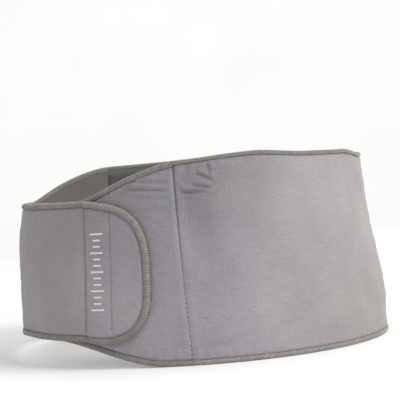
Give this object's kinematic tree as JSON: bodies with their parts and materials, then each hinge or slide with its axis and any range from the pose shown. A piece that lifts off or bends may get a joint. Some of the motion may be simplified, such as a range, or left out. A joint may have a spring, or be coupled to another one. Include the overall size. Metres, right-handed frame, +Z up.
{
  "type": "lumbar support belt",
  "caption": "Wrap-round lumbar support belt: tall padded back with stays in sewn channels, tapered side wings, and a round-ended hook closure flap at the front.",
  "frame": {"origin": "on the wearer's axis at the centre of the loop, level with the lower rim of the back", "axes": "+Z up, -Y the wearer's front where the belt fastens, +X the wearer's left"},
  "size_m": [0.3558, 0.326, 0.1601],
  "materials": {
    "shell_fabric": "heathered grey jersey over thin foam, matt",
    "overlock_thread": "dense overlock stitching, olive grey",
    "lining_fabric": "brushed loop lining, dark grey",
    "pad_fabric": "padded mesh knit, dark grey",
    "channel_tape": "woven twill tape, charcoal",
    "stay_steel": "blued spring steel strip, brushed",
    "stay_tip": "white dipped plastic",
    "sewing_thread": "polyester sewing thread, dark grey",
    "hook_tape": "moulded nylon hook tape",
    "label_cloth": "white satin tape, blank",
    "print_white": "white transfer print, slightly worn"
  },
  "bodies": {
    "back": {"back_shell": "shell_fabric", "back_lining": "lining_fabric", "back_hem_top": "overlock_thread", "back_hem_bottom": "overlock_thread", "lumbar_pad": "pad_fabric", "stay_channel_1": "channel_tape", "stay_channel_2": "channel_tape", "stay_channel_3": "channel_tape", "stay_channel_4": "channel_tape", "channel_stitching": "sewing_thread", "care_label": "label_cloth", "seam_thread_left": "sewing_thread", "seam_thread_right": "sewing_thread"},
    "left_wing": {"left_wing": "shell_fabric", "left_wing_hem": "overlock_thread"},
    "right_wing": {"right_wing": "shell_fabric", "right_wing_hem": "overlock_thread"},
    "flap": {"closure_flap": "shell_fabric", "flap_hem": "overlock_thread", "hook_tape_inner": "hook_tape", "hook_tape_end": "hook_tape", "flap_stitching": "sewing_thread", "flap_scale": "print_white"},
    "stay_1": {"stay_1": "stay_steel", "stay_tips_1": "stay_tip"},
    "stay_2": {"stay_2": "stay_steel", "stay_tips_2": "stay_tip"},
    "stay_3": {"stay_3": "stay_steel", "stay_tips_3": "stay_tip"},
    "stay_4": {"stay_4": "stay_steel", "stay_tips_4": "stay_tip"}
  },
  "joints": [
    {"name": "right_wing_open", "type": "hinge", "parent": "back", "child": "right_wing", "pos_m": [-0.16003, -0.05375, 0.08], "axis": [-0.0866, -0.0323, -0.9957], "range_deg": [0, 75]},
    {"name": "left_wing_open", "type": "hinge", "parent": "back", "child": "left_wing", "pos_m": [0.16003, -0.05375, 0.08], "axis": [-0.0866, 0.0323, 0.9957], "range_deg": [0, 37.5]},
    {"name": "flap_peel", "type": "hinge", "parent": "right_wing", "child": "flap", "pos_m": [0.1137, -0.12238, 0.08], "axis": [0.0596, -0.0706, -0.9957], "range_deg": [0, 110]},
    {"name": "stay_1_slide", "type": "slide", "parent": "back", "child": "stay_1", "axis": [0.0688, -0.0617, 0.9957], "range_m": [0, 0.15]},
    {"name": "stay_2_slide", "type": "slide", "parent": "back", "child": "stay_2", "axis": [0.0446, -0.0809, 0.9957], "range_m": [0, 0.15]},
    {"name": "stay_3_slide", "type": "slide", "parent": "back", "child": "stay_3", "axis": [-0.0446, -0.0809, 0.9957], "range_m": [0, 0.15]},
    {"name": "stay_4_slide", "type": "slide", "parent": "back", "child": "stay_4", "axis": [-0.0688, -0.0617, 0.9957], "range_m": [0, 0.15]}
  ],
  "couplings": [
    {"joint": "left_wing_open", "follows": "right_wing_open", "ratio": 0.5}
  ]
}
